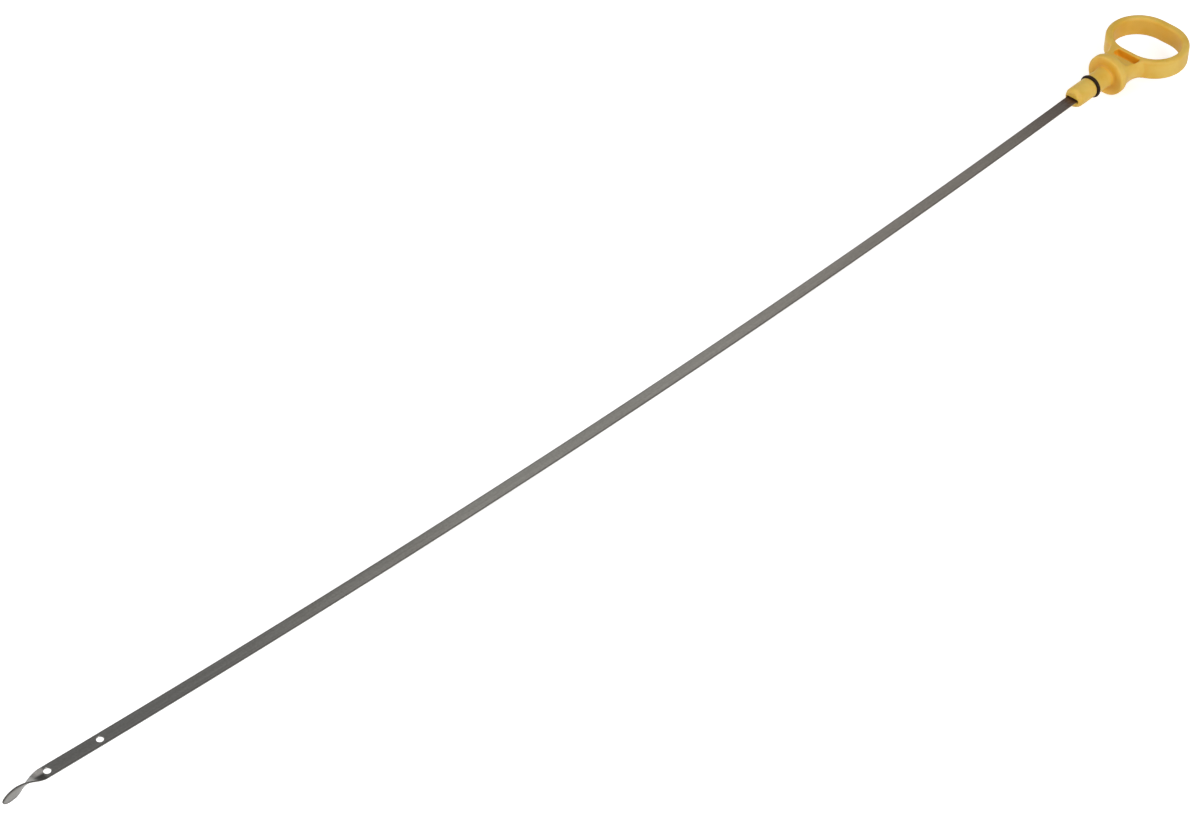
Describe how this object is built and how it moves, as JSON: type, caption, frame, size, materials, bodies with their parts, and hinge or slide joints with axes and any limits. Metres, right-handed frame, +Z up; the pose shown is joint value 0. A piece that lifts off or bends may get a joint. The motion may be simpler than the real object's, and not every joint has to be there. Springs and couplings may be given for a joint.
{
  "type": "engine oil dipstick",
  "caption": "Long flat spring-steel dipstick with punched level holes, a twisted tip, and a moulded finger-ring handle with a collar and a sealed round stopper.",
  "frame": {"origin": "middle of the seat, the flat face under the collar that stops on the end of the dipstick tube", "axes": "+X runs along the blade from the seat to the tip, level with the table; +Z is up as the part lies at rest on the rim of its collar and the belly of its blade; +Y completes the right-handed frame, across the finger ring. The stopper's axis dips 2.28 degrees below +X."},
  "size_m": [0.5839, 0.0354, 0.0177],
  "materials": {
    "handle_plastic": "satin moulded yellow plastic with soft rounded edges",
    "seal_rubber": "matte black rubber",
    "spring_steel": "dull grey spring steel, drawn lengthwise"
  },
  "bodies": {
    "root": {"handle": "handle_plastic", "o_ring": "seal_rubber", "blade": "spring_steel"}
  },
  "joints": []
}
